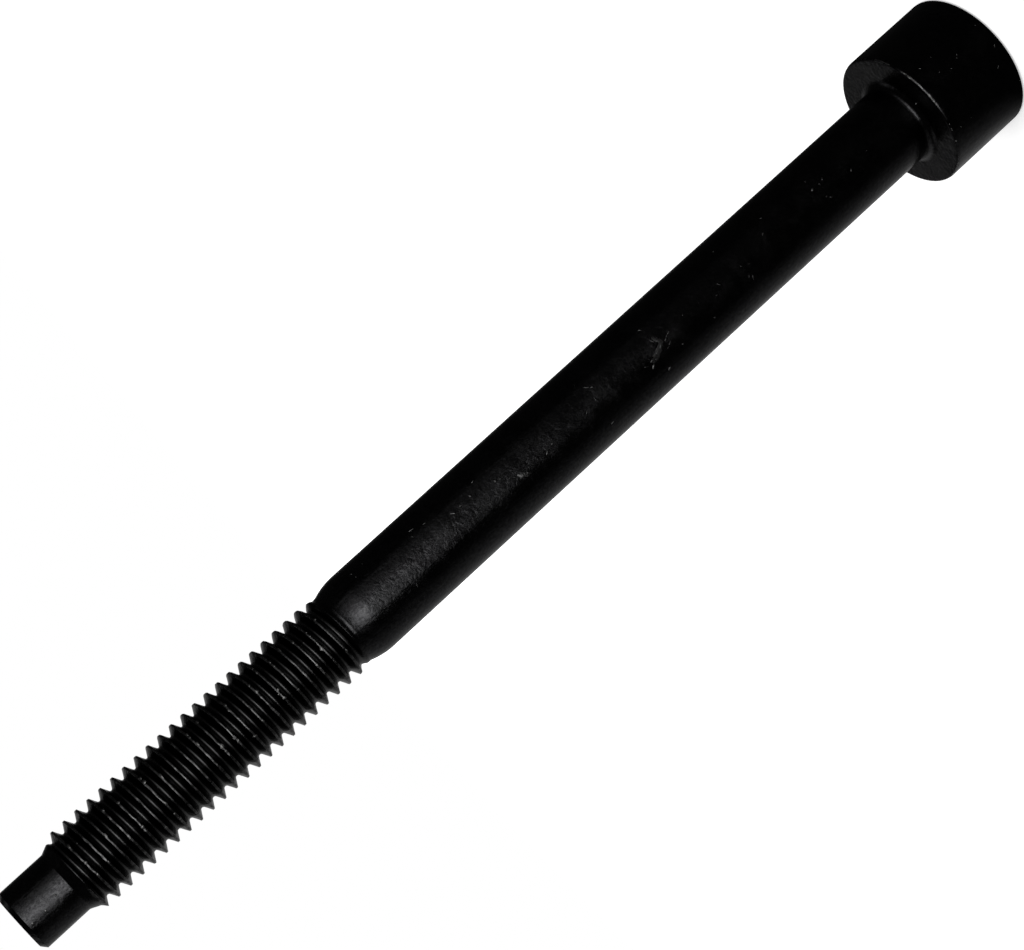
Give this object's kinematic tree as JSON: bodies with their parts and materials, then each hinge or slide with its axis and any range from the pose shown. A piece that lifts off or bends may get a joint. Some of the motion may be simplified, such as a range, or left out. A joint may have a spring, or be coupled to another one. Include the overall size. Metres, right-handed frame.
{
  "type": "suspension bolt",
  "caption": "Long black bolt with a plain round locating head, full shank, rolled right-hand thread and a dog point.",
  "frame": {"origin": "centre of the head's end face, on which the bolt stands", "axes": "+Z along the bolt's axis, from the head towards the dog point; X and Y lie in the head's end face"},
  "size_m": [0.0175, 0.0174, 0.1433],
  "materials": {
    "phosphated_steel": "black phosphate, lightly oiled, satin"
  },
  "bodies": {
    "root": {"bolt": "phosphated_steel"}
  },
  "joints": []
}
